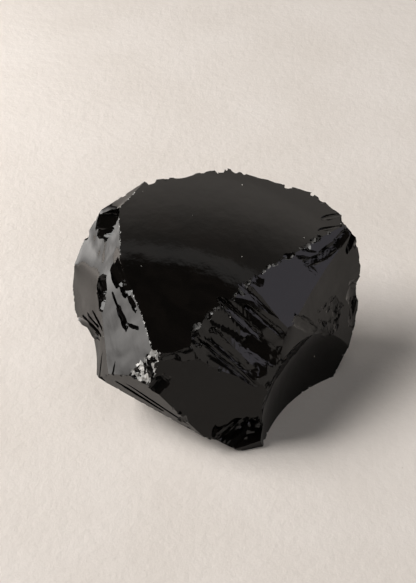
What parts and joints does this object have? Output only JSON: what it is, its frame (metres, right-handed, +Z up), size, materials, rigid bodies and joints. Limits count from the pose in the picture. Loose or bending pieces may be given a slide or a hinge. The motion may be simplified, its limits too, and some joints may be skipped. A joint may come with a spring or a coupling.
{
  "type": "obsidian chunk",
  "caption": "Palm-sized raw lump of black obsidian with mirror-like conchoidal fracture faces, resting on a flat broken foot.",
  "frame": {"origin": "on the ground plane under the middle of the stone's box, as it lies", "axes": "+Z up, +X along the longest side of the stone, -Y towards the side with the broad front face and the rippled fan"},
  "size_m": [0.0811, 0.0648, 0.0477],
  "materials": {
    "obsidian": "near-black volcanic glass, mirror-smooth on the broad faces, with fine ripples and crushed edges that catch the light"
  },
  "bodies": {
    "root": {"obsidian_chunk": "obsidian"}
  },
  "joints": []
}
